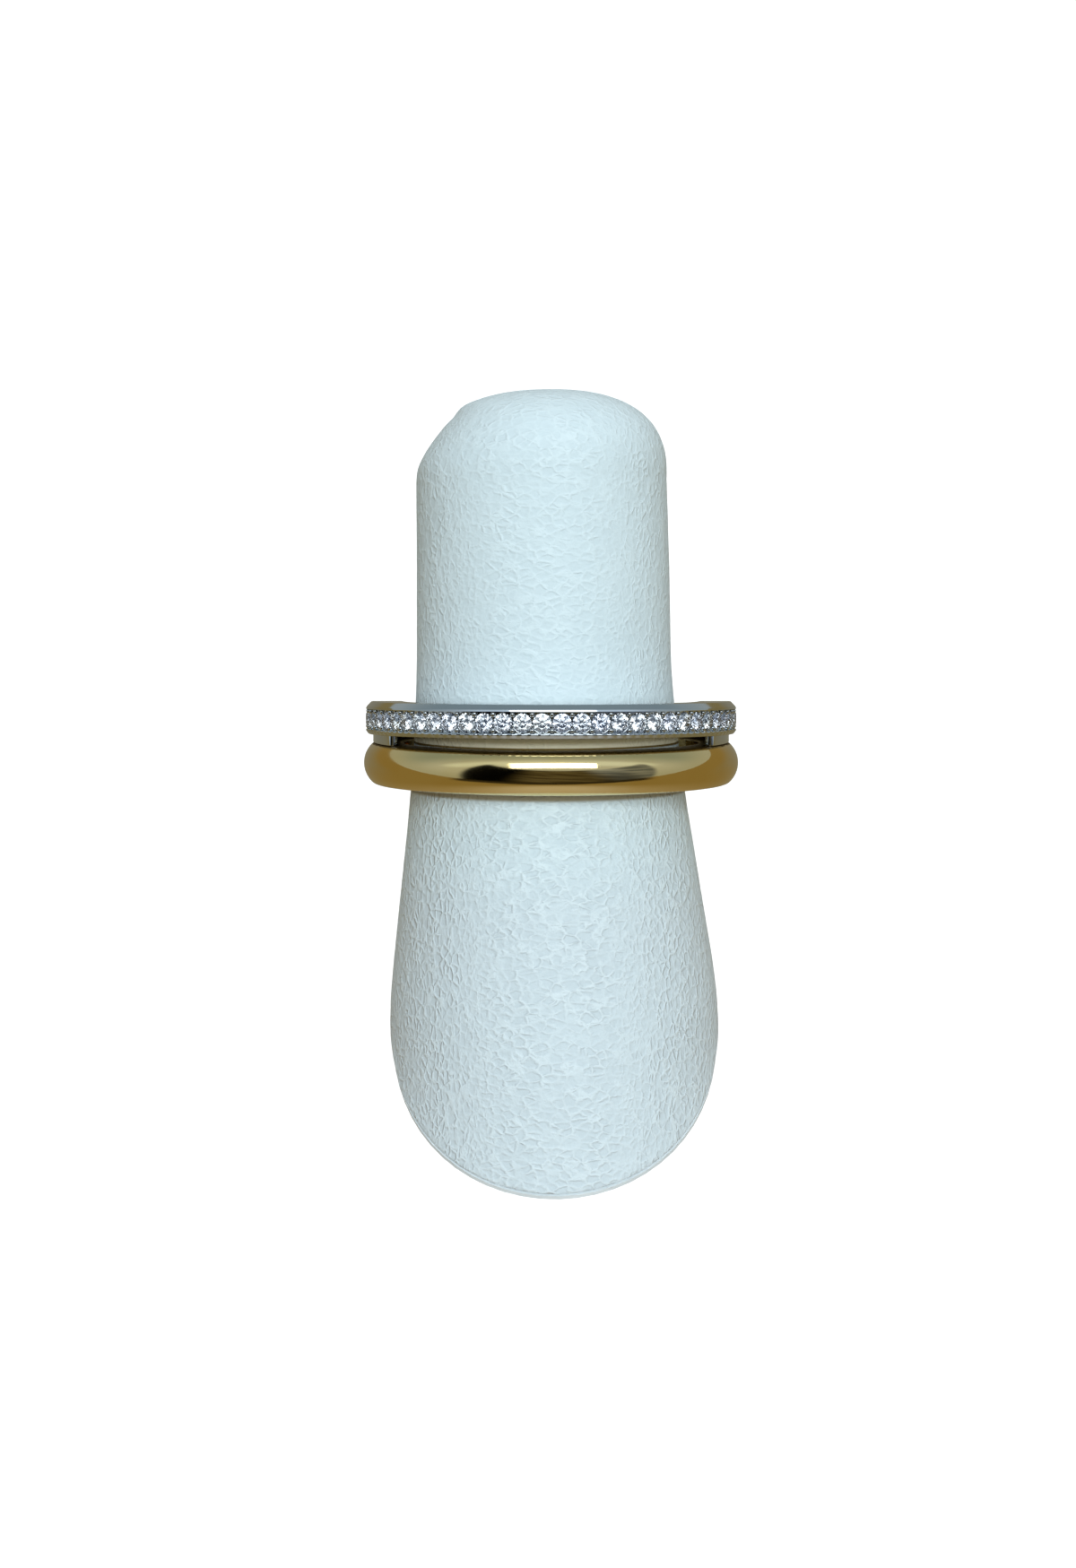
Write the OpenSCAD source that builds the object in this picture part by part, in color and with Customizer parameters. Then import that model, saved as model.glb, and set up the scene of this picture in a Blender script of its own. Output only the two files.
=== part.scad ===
// Two-tone double band ring on a leaning finger-shaped display stand.
// The stand's foot lies on z = 0 and the finger leans back towards +Y.
// The ring is drawn about its own axis and then set on the finger.

/* [Ring] */
// Inside diameter of both bands
bore_d = 16.5; // [16.5:0.1:17.2]
// Outside diameter of the gold band at the crest of its dome
gold_d = 20.84; // [20.2:0.02:21.4]
// Height of the gold band along the ring's axis
gold_h = 2.25; // [1.9:0.01:2.4]
// How far the dome stands out over its own edges
dome_rise = 0.54; // [0.3:0.02:0.7]
// Width of the small bevel along both edges of the dome
dome_bevel = 0.12; // [0.06:0.01:0.16]
// Clear height between the two bands
band_gap = 0.7; // [0.5:0.01:1]
// Outside diameter of the stone-set band
pave_d = 20.6; // [20.3:0.02:21]
// Height of the stone-set band along the ring's axis
pave_h = 1.79; // [1.7:0.01:1.9]
// Rounding of the edges inside the bore
bore_bevel = 0.15; // [0.05:0.01:0.25]
// Angle at which the two bands spread towards the front
spread = 1.3; // [1:0.1:1.4]
// How steeply the stone-set band gets lower towards the back of the ring
taper = 0.05; // [0.04:0.01:0.06]
// Distance behind the ring's axis at which that taper starts
taper_start = 0.4; // [0.4:0.1:1]

/* [Rails of the stone-set band] */
// Height of the bevelled top rail
top_rail_h = 0.39; // [0.3:0.01:0.42]
// How far the top bevel runs in towards the axis
top_bevel = 0.47; // [0.2:0.01:0.6]
// Height of the lower rail
low_rail_h = 0.29; // [0.2:0.01:0.3]
// How far the lower bevel runs in towards the axis
low_bevel = 0.3; // [0.1:0.01:0.4]
// Width of the flat lip between each bevel and the field
rail_lip = 0.04; // [0.02:0.01:0.08]
// Depth of the field between the rails
field_depth = 0.17; // [0.1:0.01:0.2]

/* [Stones] */
// Number of stones, half of them on each side of the front
stone_count = 34; // [2:2:34]
// Angle from one stone to the next
stone_pitch = 5.8; // [5.8:0.1:6.2]
// Diameter of a stone at its girdle
stone_d = 0.97; // [0.8:0.01:0.98]
// Radius of the metal grains that hold the stones
grain_r = 0.145; // [0.08:0.005:0.15]

/* [Strip between the bands] */
// Angle from the front at which the strip starts on each side
strip_start = 61; // [50:1:85]
// Outside diameter of the strip
strip_d = 19.8; // [19.2:0.05:20]
// Thickness of the strip
strip_t = 0.5; // [0.3:0.05:0.8]
// How far the strip reaches into the stone-set band, clear of the seats
strip_root = 0.2; // [0.1:0.05:0.3]

/* [Stand] */
// Angle at which the finger leans back
lean = 35.5; // [30:0.5:37]
// Distance along the finger from the floor to the ring's middle
ring_up = 15.9; // [15:0.1:18]
// Height of the finger's full width above the ring's middle
crown_start = 14.3; // [12:0.1:16]
// Height of the rounded crown
crown_h = 5.05; // [4:0.05:6]
// Sideways slant of the crown at its top
crown_shift = 0.25; // [0:0.05:0.5]
// How far the crown's left shoulder is pressed in
crown_dent = 0.5; // [0:0.05:0.6]
// Thickness of the board under the finger
board_t = 0.25; // [0.2:0.05:0.6]
// How far the board stays inside the leather's edge
board_inset = 0.12; // [0.05:0.01:0.3]

/* [How the ring sits] */
// Sideways tip of the ring on the finger, in degrees
ring_tip = 1.4; // [0:0.1:2]
// Sideways shift of the ring on the finger
ring_shift = 0.3; // [0:0.05:0.4]

/* [Hidden] */
// Clearance between pieces that lie against each other
seam = 0.02;
// Sides of a round outline
round_sides = 96;
// Sides of a small round
small_sides = 32;
// Overlap that keeps two cut shapes from sharing a face
over = 1;
// Distance from the gold band's lower face up to the zero height that the ring is placed by
gold_drop = 2.3;

bore_r = bore_d / 2;
gold_z = -gold_drop;
strip_z = gold_z + gold_h;
pave_z = strip_z + band_gap;
pave_top = pave_z + pave_h;

// The dome is an arc through the crest and both edges
crest_r = gold_d / 2;
dome_r = (pow(gold_h / 2, 2) + pow(dome_rise, 2)) / (2 * dome_rise);
dome_edge_r = crest_r - dome_rise;

rail_r = pave_d / 2;
field_r = rail_r - field_depth;
field_low = pave_z + low_rail_h;
field_high = pave_top - top_rail_h;
field_mid = (field_low + field_high) / 2;
field_half_angle = stone_count / 2 * stone_pitch + 2;
// The top bevel is bent: shares of its width and height at the bend
bevel_in = 0.34;
bevel_down = 0.36;

// Proportions of a round brilliant, as shares of its girdle radius, and its facet angles
girdle_r = stone_d / 2;
table_share = 0.57;
star_share = 0.5;
lower_share = 0.77;
girdle_t = 0.03;
crown_angle = 34.5;
pavilion_angle = 40.75;
facet_step = 45;
table_r = table_share * girdle_r;
star_r = (1 - star_share) * table_r * cos(facet_step / 2) + star_share * girdle_r;
lower_r = (1 - lower_share) * girdle_r;
crown_rise = (girdle_r - table_r) * tan(crown_angle);
pavilion_drop = girdle_r * tan(pavilion_angle);
stone_seat_r = rail_r - crown_rise - girdle_t / 2;
// Turn of each stone in its seat, so that no two neighbours flash alike
stone_turn = 17;
// Where the grains stand: distance from the ring's axis, and from the middle of the field
grain_at_r = field_r + seam;
grain_off = 0.42;

// Sections of the finger along its own line: height over the ring, half width, half depth, sideways shift
HEIGHT = 0;
WIDE = 1;
DEEP = 2;
ASIDE = 3;
finger_rows = [
    [-25.0, 10.20, 10.75, 0.1],
    [-18.0, 9.35, 10.40, 0.1],
    [-14.0, 9.15, 9.95, 0.1],
    [-8.0, 8.38, 9.02, 0.07],
    [-2.3, 7.62, 8.14, 0.03],
    [3.3, 7.15, 7.66, 0],
    [9.0, 7.04, 7.45, 0.08],
    [crown_start, 6.95, 7.30, 0.12]
];
finger_sides = 64;
body_rings = 20;
crown_rings = 9;
// Roundness of the crown: 2 is an ellipse, more is squarer
crown_power = 2.5;
solve_steps = 7;
last_row = len(finger_rows) - 1;

// Slope of one column of the table at a row, from the rows on either side
function row_slope(i, column) =
    let (before = finger_rows[max(i - 1, 0)], after = finger_rows[min(i + 1, last_row)])
    (after[column] - before[column]) / (after[HEIGHT] - before[HEIGHT]);

// Smooth curve through the rows of one column
function smooth(z, column) =
    let (
        i = max([0, for (k = [0 : last_row - 1]) if (finger_rows[k][HEIGHT] <= z) k]),
        low = finger_rows[i],
        high = finger_rows[i + 1],
        span = high[HEIGHT] - low[HEIGHT],
        t = (z - low[HEIGHT]) / span,
        t2 = t * t,
        t3 = t2 * t
    )
    (2 * t3 - 3 * t2 + 1) * low[column]
    + (t3 - 2 * t2 + t) * span * row_slope(i, column)
    + (3 * t2 - 2 * t3) * high[column]
    + (t3 - t2) * span * row_slope(i + 1, column);

// Share of the full section that is left at a share of the crown's height
function crown_share(t) = pow(1 - pow(t, crown_power), 1 / crown_power);

// Smooth step from 0 to 1 between two values
function eased(t, low, high) =
    let (s = min(max((t - low) / (high - low), 0), 1))
    s * s * (3 - 2 * s);

// The dent's depth at a share of the crown's height
function dent(t) = crown_dent * (eased(t, 0.1, 0.6) - eased(t, 0.7, 0.88));

// Where the line down the finger's side at angle a meets the plane at height h over the floor
function side_foot(a, h, steps = solve_steps) =
    steps == 0
        ? h / cos(lean) - ring_up
        : h / cos(lean) - ring_up
            + smooth(side_foot(a, h, steps - 1), DEEP) * sin(a) * tan(lean);

function section_point(a, z) = [smooth(z, ASIDE) + smooth(z, WIDE) * cos(a), smooth(z, DEEP) * sin(a), z];

function body_point(a, t) =
    let (foot = side_foot(a, board_t + seam))
    section_point(a, foot + (crown_start - foot) * t);

function crown_point(a, t) =
    let (share = crown_share(t), full = section_point(a, crown_start), aside = smooth(crown_start, ASIDE))
    [
        aside + (full[0] - aside) * share + crown_shift * t + dent(t) * max(-cos(a), 0),
        full[1] * share,
        crown_start + crown_h * t
    ];

// Point of the foot's outline, in the plane of the floor
function foot_point(a, h) =
    let (p = section_point(a, side_foot(a, h)))
    [p[0], p[1] * cos(lean) + (p[2] + ring_up) * sin(lean)];

function shrink(p, by) = p * (1 - by / norm(p));

function stone_name(i) = str("stone_", i < 10 ? "0" : "", i);

function stone_angle(i) = (i - (stone_count + 1) / 2) * stone_pitch;

// The finger's own line meets the floor at the origin, and the ring's middle is ring_up along it
module on_floor() {
    translate([0, ring_up * sin(lean), ring_up * cos(lean)])
        rotate([-lean, 0, 0])
            children();
}

module on_ring() {
    on_floor()
        translate([ring_shift, 0, 0])
            rotate([0, ring_tip, 0])
                children();
}

// The stone-set band hinges on the lower edge of its front, so that the gap narrows to the back
module on_pave() {
    translate([0, -rail_r, pave_z])
        rotate([-spread, 0, 0])
            translate([0, rail_r, -pave_z])
                children();
}

// The side of the ring that faces -Y is its front, and angles run from there towards +X
module at_angle(a) {
    rotate([0, 0, a - 90])
        children();
}

// The band's outer form: an arc over its whole height, with its two edges cut by bevels
module dome_outline() {
    inner = bore_r + bore_bevel;
    edge = dome_edge_r - dome_bevel;
    reach = 2 * dome_bevel;
    intersection() {
        translate([crest_r - dome_r, gold_z + gold_h / 2])
            circle(r = dome_r, $fn = round_sides);
        polygon([
            [inner, gold_z],
            [edge, gold_z],
            [edge + reach, gold_z + reach],
            [crest_r + over, gold_z + reach],
            [crest_r + over, strip_z - reach],
            [edge + reach, strip_z - reach],
            [edge, strip_z],
            [inner, strip_z]
        ]);
    }
}

// The wall round the bore, which the arc alone would leave hollow
module wall_outline() {
    inner = bore_r + bore_bevel;
    outer = max(crest_r - dome_r, inner) + dome_bevel;
    polygon([
        [bore_r, gold_z + bore_bevel],
        [inner, gold_z],
        [outer, gold_z],
        [outer, strip_z],
        [inner, strip_z],
        [bore_r, strip_z - bore_bevel]
    ]);
}

module gold_band() {
    color([0.72, 0.62, 0.36])
        on_ring()
            rotate_extrude($fn = round_sides) {
                dome_outline();
                wall_outline();
            }
}

module pave_profile() {
    polygon([
        [bore_r, pave_z + bore_bevel],
        [bore_r + bore_bevel, pave_z],
        [rail_r - low_bevel, pave_z],
        [rail_r, field_low - rail_lip],
        [rail_r, field_high + rail_lip],
        [rail_r - top_bevel * bevel_in, pave_top - (pave_top - field_high - rail_lip) * bevel_down],
        [rail_r - top_bevel, pave_top],
        [bore_r + bore_bevel, pave_top],
        [bore_r, pave_top - bore_bevel]
    ]);
}

// The sunk field between the rails, as far round as the stones go
module field_cut() {
    rotate([0, 0, -90 - field_half_angle])
        rotate_extrude(angle = 2 * field_half_angle, $fn = round_sides)
            translate([field_r, field_low])
                square([field_depth + over, field_high - field_low]);
}

// Everything over the slanted plane that lowers the band's top towards the back
module taper_cut() {
    translate([0, taper_start, pave_top])
        rotate([-atan(taper), 0, 0])
            translate([-pave_d, -over, 0])
                cube([2 * pave_d, pave_d, pave_h]);
}

// A seat is drilled for the girdle and tapered below it for the pavilion
module seat_cut() {
    seat_r = girdle_r + seam;
    drop = pavilion_drop + girdle_t;
    translate([0, 0, -girdle_t])
        cylinder(r = seat_r, h = crown_rise + over, $fn = small_sides);
    translate([0, 0, -girdle_t - drop])
        cylinder(r1 = seam, r2 = seat_r, h = drop, $fn = small_sides);
}

module stone_place(i) {
    at_angle(stone_angle(i))
        translate([stone_seat_r, 0, field_mid])
            rotate([0, 90, 0])
                children();
}

module grain_pair(a) {
    for (side = [-1, 1])
        at_angle(a)
            translate([grain_at_r, 0, field_mid + side * grain_off])
                sphere(r = grain_r, $fn = small_sides);
}

// The strip hangs from the stone-set band and is filed flush with the top of the gold band
module strip() {
    difference() {
        on_pave()
            rotate([0, 0, -90 + strip_start])
                rotate_extrude(angle = 360 - 2 * strip_start, $fn = round_sides)
                    translate([strip_d / 2 - strip_t, strip_z])
                        square([strip_t, band_gap + strip_root]);
        translate([-pave_d, -pave_d, strip_z + seam - pave_h])
            cube([2 * pave_d, 2 * pave_d, pave_h]);
    }
}

module pave_band() {
    color([0.6, 0.63, 0.65])
        on_ring() {
            on_pave() {
                difference() {
                    rotate_extrude($fn = round_sides)
                        pave_profile();
                    taper_cut();
                    field_cut();
                    for (i = [1 : stone_count])
                        stone_place(i)
                            seat_cut();
                }
                for (i = [0 : stone_count])
                    grain_pair(stone_angle(i + 0.5));
            }
            strip();
        }
}

// A round brilliant, table up, with the middle of its girdle at the origin
module brilliant() {
    half_step = facet_step / 2;
    half_girdle = girdle_t / 2;
    lift = tan(crown_angle);
    fall = tan(pavilion_angle);
    table_pts = [for (k = [0 : 7])
        [table_r * cos(k * facet_step), table_r * sin(k * facet_step), half_girdle + crown_rise]];
    star_pts = [for (k = [0 : 7])
        [
            star_r * cos((k + 0.5) * facet_step),
            star_r * sin((k + 0.5) * facet_step),
            half_girdle + (girdle_r - star_r * cos(half_step)) * lift
        ]];
    top_pts = [for (k = [0 : 15])
        [girdle_r * cos(k * half_step), girdle_r * sin(k * half_step), half_girdle]];
    low_pts = [for (k = [0 : 15])
        [girdle_r * cos(k * half_step), girdle_r * sin(k * half_step), -half_girdle]];
    lower_pts = [for (k = [0 : 7])
        [
            lower_r * cos((k + 0.5) * facet_step),
            lower_r * sin((k + 0.5) * facet_step),
            -half_girdle - (girdle_r - lower_r * cos(half_step)) * fall
        ]];
    culet = [[0, 0, -half_girdle - pavilion_drop]];
    star = 8;
    top = 16;
    low = 32;
    lower = 48;
    tip = 56;
    faces = concat(
        [[for (k = [7 : -1 : 0]) k]],
        [for (k = [0 : 7]) [k, (k + 1) % 8, star + k]],
        [for (k = [0 : 7]) [k, star + k, top + 2 * k, star + (k + 7) % 8]],
        [for (k = [0 : 7]) [star + k, top + 2 * k + 1, top + 2 * k]],
        [for (k = [0 : 7]) [star + k, top + (2 * k + 2) % 16, top + 2 * k + 1]],
        [for (j = [0 : 15]) [top + j, top + (j + 1) % 16, low + (j + 1) % 16, low + j]],
        [for (k = [0 : 7]) [lower + k, low + 2 * k, low + 2 * k + 1]],
        [for (k = [0 : 7]) [lower + k, low + 2 * k + 1, low + (2 * k + 2) % 16]],
        [for (k = [0 : 7]) [tip, lower + (k + 7) % 8, low + 2 * k, lower + k]]
    );
    polyhedron(concat(table_pts, star_pts, top_pts, low_pts, lower_pts, culet), faces);
}

module stone(i) {
    color([0.88, 0.92, 0.95])
        on_ring()
            on_pave()
                stone_place(i)
                    rotate([0, 0, i * stone_turn])
                        brilliant();
}

// The padded finger is one closed skin: rings from the slanted foot to the crown, and its tip
module display_finger() {
    rings = body_rings + crown_rings;
    points = concat(
        [for (r = [0 : rings - 1], s = [0 : finger_sides - 1])
            let (a = s * 360 / finger_sides)
            r <= body_rings
                ? body_point(a, r / body_rings)
                : crown_point(a, sin(90 * (r - body_rings) / crown_rings))],
        [[smooth(crown_start, ASIDE) + crown_shift, 0, crown_start + crown_h]]
    );
    tip = rings * finger_sides;
    faces = concat(
        [[for (s = [0 : finger_sides - 1]) s]],
        [for (r = [0 : rings - 2], s = [0 : finger_sides - 1])
            let (n = (s + 1) % finger_sides, base = r * finger_sides)
            [base + s, base + finger_sides + s, base + finger_sides + n, base + n]],
        [for (s = [0 : finger_sides - 1])
            [(rings - 1) * finger_sides + s, tip, (rings - 1) * finger_sides + (s + 1) % finger_sides]]
    );
    color([0.85, 0.9, 0.92])
        on_floor()
            polyhedron(points, faces);
}

module foot_board() {
    color([0.93, 0.93, 0.9])
        linear_extrude(board_t)
            polygon([for (s = [0 : finger_sides - 1])
                let (a = s * 360 / finger_sides, at = foot_point(a, board_t))
                shrink(at, board_inset)]);
}

gold_band();
pave_band();
display_finger();
foot_board();
for (i = [1 : stone_count])
    stone(i);
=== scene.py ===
# %% [markdown]
# # A two-tone double band ring on its display stand
# The object is a ring of two bands, one of yellow gold and one of white gold set with stones.
# It sits on a small padded finger that jewellers use to show rings.
# The exact solids were made in CAD and packed. This script loads them as a frame that never moves.
# Around that frame it builds the looks: smooth bands, rounded edges, leather grain, metal and stone.
# Every cell prints what it made, so a reader can run the cells one by one and follow.

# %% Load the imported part
import math

import bmesh
import bpy
import numpy as np
from mathutils import Matrix, Vector


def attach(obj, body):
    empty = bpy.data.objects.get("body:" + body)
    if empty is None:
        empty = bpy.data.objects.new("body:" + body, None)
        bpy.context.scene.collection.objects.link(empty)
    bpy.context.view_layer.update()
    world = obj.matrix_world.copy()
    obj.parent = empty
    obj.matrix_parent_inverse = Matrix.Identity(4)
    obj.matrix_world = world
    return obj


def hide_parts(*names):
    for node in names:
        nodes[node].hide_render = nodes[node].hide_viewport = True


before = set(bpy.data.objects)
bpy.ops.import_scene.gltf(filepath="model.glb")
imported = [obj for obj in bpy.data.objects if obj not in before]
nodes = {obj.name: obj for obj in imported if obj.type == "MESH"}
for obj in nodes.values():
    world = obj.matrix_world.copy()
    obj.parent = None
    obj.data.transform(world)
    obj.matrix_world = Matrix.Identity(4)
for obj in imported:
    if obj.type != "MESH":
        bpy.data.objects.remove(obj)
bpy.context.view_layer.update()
scene = bpy.context.scene

# %% [markdown]
# ## Where the ring sits
# The finger leans back on a slanted foot, and the ring goes round it at a right angle to the finger.
# It is far easier to build a ring about its own axis, lying flat, than to build it leaning.
# So each piece of the ring is made flat and its mesh is then carried to its place by one matrix.
# Nothing hangs on an object's own place or turn: each finished object stays at the origin.

# %% The ring's own frame
MM = 0.001
LEAN = math.radians(35.5)
RING_UP = 15.9 * MM
RING_SHIFT = 0.3 * MM
RING_TIP = math.radians(1.4)

finger_frame = (
    Matrix.Translation((0, RING_UP * math.sin(LEAN), RING_UP * math.cos(LEAN)))
    @ Matrix.Rotation(-LEAN, 4, "X")
)
ring_frame = (
    finger_frame
    @ Matrix.Translation((RING_SHIFT, 0, 0))
    @ Matrix.Rotation(RING_TIP, 4, "Y")
)
ring_middle = ring_frame.translation
print("middle of the ring, in mm:", [round(v * 1000, 2) for v in ring_middle])

# %% [markdown]
# ## The camera
# The picture was taken with a phone from a hand's breadth away, looking almost straight at the bands.
# A camera's place can be guessed by eye, but three widths in the picture settle it better.
# The bands curve downwards at their ends a little, which gives the height of the camera over the ring.
# The foot looks wider than the crown, because it is nearer, and that gives the distance.
# Both were worked out in the ring's own frame, so the camera is placed with the ring's matrix.

# %% Camera
CAMERA_AT = Vector((-0.725, -127.0, 7.38)) * MM
CAMERA_PITCH = math.radians(4.42)
LENS = 52.28
SENSOR_WIDTH = 36
SEEN_FROM = 0.001
SEEN_TO = 10


def new_object(name, data):
    """Puts a camera, a lamp or a mesh into the scene."""
    thing = bpy.data.objects.new(name, data)
    scene.collection.objects.link(thing)
    return thing


camera_data = bpy.data.cameras.new("camera")
camera_data.sensor_width = SENSOR_WIDTH
camera_data.lens = LENS
camera_data.clip_start = SEEN_FROM
camera_data.clip_end = SEEN_TO
camera = new_object("camera", camera_data)
camera.matrix_world = (
    ring_frame
    @ Matrix.Translation(CAMERA_AT)
    @ Matrix.Rotation(math.pi / 2 - CAMERA_PITCH, 4, "X")
)
bpy.context.scene.camera = camera
print("camera height over the floor, in mm:", round(camera.matrix_world.translation.z * 1000, 1))

# %% [markdown]
# ## Small helpers for node trees
# Materials, the world and Geometry Nodes are all trees of nodes joined by links.
# Making each node takes several lines, so a few helpers keep the recipes short enough to read.
# `add` makes a node and fills its inputs, and `out` takes one of its outputs as a `Flow`.
# A flow knows its tree, so Python's own signs can make the Math nodes, and a sum reads as a sum.

# %% Flows and nodes
class Flow:
    """What flows out of a node. Each sign between a flow and a number or flow makes one Math node."""

    def __init__(self, socket):
        self.socket = socket

    def __add__(self, other):
        return calc("ADD", self, other)

    def __sub__(self, other):
        return calc("SUBTRACT", self, other)

    def __rsub__(self, other):
        return calc("SUBTRACT", other, self)

    def __mul__(self, other):
        return calc("MULTIPLY", self, other)

    def __truediv__(self, other):
        return calc("DIVIDE", self, other)

    def __neg__(self):
        return calc("MULTIPLY", self, -1.0)

    def __abs__(self):
        return calc("ABSOLUTE", self)


def fill(node, inputs):
    """Links a node's inputs to flows, or sets them to plain numbers."""
    for name, given in inputs.items():
        socket = node.inputs[name]
        if isinstance(given, Flow):
            socket.id_data.links.new(given.socket, socket)
        else:
            socket.default_value = given


def add(tree, kind, inputs=None, **settings):
    """Makes a node, sets its own settings, such as an operation, and fills its inputs."""
    node = tree.nodes.new(kind)
    for name, setting in settings.items():
        setattr(node, name, setting)
    fill(node, inputs or {})
    return node


def out(node, name=0):
    """One output of a node."""
    return Flow(node.outputs[name])


def tree_of(*values):
    """The tree in which the first flow among the values runs."""
    return next(value.socket.id_data for value in values if isinstance(value, Flow))


def calc(operation, *values):
    """One Math node."""
    return out(add(tree_of(*values), "ShaderNodeMath", dict(enumerate(values)), operation=operation))


def vector_calc(operation, *values, give="Vector"):
    """One Vector Math node."""
    node = add(tree_of(*values), "ShaderNodeVectorMath", dict(enumerate(values)), operation=operation)
    return out(node, give)


print("flows ready")

# %% Recipes that come back
def parts(vector):
    """The three numbers of a place or a direction."""
    node = add(tree_of(vector), "ShaderNodeSeparateXYZ", {0: vector})
    return [Flow(socket) for socket in node.outputs]


def joined(x, y=0.0, z=0.0):
    """A place or a direction from three numbers."""
    return out(add(tree_of(x, y, z), "ShaderNodeCombineXYZ", {0: x, 1: y, 2: z}))


def length(x, y):
    """How far it is to go x one way and y across it."""
    return calc("SQRT", x * x + y * y)


def object_place(tree):
    """The place on the object, in its own coordinates."""
    return out(add(tree, "ShaderNodeTexCoord"), "Object")


def ramp(value, low, high, to_low=0.0, to_high=1.0):
    """Carries a value from one range to another, smoothly, and stops at both ends."""
    inputs = {"Value": value, "From Min": low, "From Max": high, "To Min": to_low, "To Max": to_high}
    node = add(tree_of(value), "ShaderNodeMapRange", inputs, interpolation_type="SMOOTHSTEP")
    return out(node, "Result")


def mix(share, first, second):
    """Mixes two colours by a share from 0 to 1."""
    return out(add(tree_of(share), "ShaderNodeMix", {0: share, 6: first, 7: second}, data_type="RGBA"), 2)


def noise(place, scale, detail=2.0, roughness=0.5, give="Fac"):
    """A soft random value over the surface, about 0.5 in the mean, or a random colour."""
    inputs = {"Vector": place, "Scale": scale, "Detail": detail, "Roughness": roughness}
    return out(add(tree_of(place), "ShaderNodeTexNoise", inputs, noise_dimensions="3D"), give)


def bumped(height, strength, distance):
    """The direction of a surface that a height bends."""
    inputs = {"Height": height, "Strength": strength, "Distance": distance}
    return out(add(tree_of(height), "ShaderNodeBump", inputs), "Normal")


def principled(name):
    """A new material, with its tree and its main shader."""
    material = bpy.data.materials.new(name)
    material.use_nodes = True
    return material, material.node_tree, material.node_tree.nodes["Principled BSDF"]


def new_tree(kind, name, inputs, outputs):
    """A node group with named inputs and outputs. An input is given by its default or by its kind."""
    tree = bpy.data.node_groups.new(name, kind)
    for label, default in inputs.items():
        socket_kind = SOCKET_OF.get(type(default), default)
        socket = tree.interface.new_socket(label, in_out="INPUT", socket_type=socket_kind)
        if socket_kind != default:
            socket.default_value = default
    for label, socket_kind in outputs.items():
        tree.interface.new_socket(label, in_out="OUTPUT", socket_type=socket_kind)
    return tree, {socket.name: Flow(socket) for socket in add(tree, "NodeGroupInput").outputs}


FLOAT = "NodeSocketFloat"
MATERIAL = "NodeSocketMaterial"
GEOMETRY = "NodeSocketGeometry"
SOCKET_OF = {float: FLOAT, int: "NodeSocketInt"}
print("recipes ready")

# %% [markdown]
# ## The floor
# The picture's background is clean white, as on a light table.
# A real light table is bright to the eye, yet it would flood the metal with light from below.
# So the floor shows the camera a white that glows, which keeps only the faintest contact shadow.
# Every other ray meets a table top that glows, so all its colours are painted light: a warm brown with a
# pale sheet on it, in front of the object.
# The gold's lower half mirrors just that: a brown that turns pale towards the middle.
# Far in front the table glows nearly black, a painted shade, which closes the dark shape on the gold from
# below.
# Behind the object it is a warm grey, which the white rail mirrors at its two ends.
# Light that has passed through a stone sees a cool grey, as the stones in the picture do.
# The floor is staging: it isn't part of the object.

# %% Floor
FLOOR_RADIUS = 0.9
FLOOR_SIDES = 96
FLOOR_DROP = 0.02 * MM
FLOOR_WHITE = (0.4, 0.4, 0.4, 1)
FLOOR_GLOW = 0.88
SHEET_IN_FRONT = 33 * MM
SHEET_HALF_WIDTH = 20 * MM
SHEET_HALF_LENGTH = 35 * MM
SHEET_INSIDE = 0.2
SHEET_OUTSIDE = 1.7
SHEET_PALE = (0.52, 0.48, 0.42, 1)
TABLE_BROWN = (0.27, 0.205, 0.082, 1)
SHADE_FROM = 88 * MM
SHADE_FULL = 130 * MM
SHADE_SIDE = math.radians(52)
SHADE_END = math.radians(63)
SHADE_BROWN = (0.03, 0.024, 0.012, 1)
BEHIND_HALF_WIDTH = 20 * MM
BEHIND_END = 60 * MM
BEHIND_FROM = 6 * MM
BEHIND_FULL = 30 * MM
BEHIND_GREY = (0.245, 0.228, 0.168, 1)
THROUGH_STONES = (0.17, 0.20, 0.25, 1)

floor_mesh = bpy.data.meshes.new("floor")
shape = bmesh.new()
bmesh.ops.create_circle(shape, cap_ends=True, segments=FLOOR_SIDES, radius=FLOOR_RADIUS)
shape.to_mesh(floor_mesh)
shape.free()
floor = new_object("floor", floor_mesh)
floor.location.z = -FLOOR_DROP

floor_material = bpy.data.materials.new("light_table")
floor_material.use_nodes = True
tree = floor_material.node_tree
tree.nodes.clear()
seen = add(tree, "ShaderNodeLightPath")
x, y, _ = parts(object_place(tree))
from_sheet = length(x / SHEET_HALF_WIDTH, (y + SHEET_IN_FRONT) / SHEET_HALF_LENGTH)
table = mix(ramp(from_sheet, SHEET_INSIDE, SHEET_OUTSIDE), SHEET_PALE, TABLE_BROWN)
side_turn = abs(calc("ARCTAN2", x, -y))
shade = ramp(length(x, y), SHADE_FROM, SHADE_FULL) * ramp(side_turn, SHADE_SIDE, SHADE_END, 1.0, 0.0)
table = mix(shade, table, SHADE_BROWN)
behind = ramp(abs(x), BEHIND_HALF_WIDTH, BEHIND_END, 1.0, 0.0) * ramp(y, BEHIND_FROM, BEHIND_FULL)
table = mix(behind, table, BEHIND_GREY)
table = mix(out(seen, "Is Transmission Ray"), table, THROUGH_STONES)
# The table top is an emission, so its brown, pale sheet, shade and grey are painted light that no lamp
# casts.
glowing_table_top = add(tree, "ShaderNodeEmission", {"Color": table})
white_top = add(tree, "ShaderNodeBsdfDiffuse", {"Color": FLOOR_WHITE})
glow = add(tree, "ShaderNodeEmission", {"Strength": FLOOR_GLOW})
lit_top = add(tree, "ShaderNodeAddShader", {0: out(white_top), 1: out(glow)})
choice = add(
    tree, "ShaderNodeMixShader", {0: out(seen, "Is Camera Ray"), 1: out(glowing_table_top), 2: out(lit_top)}
)
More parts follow.
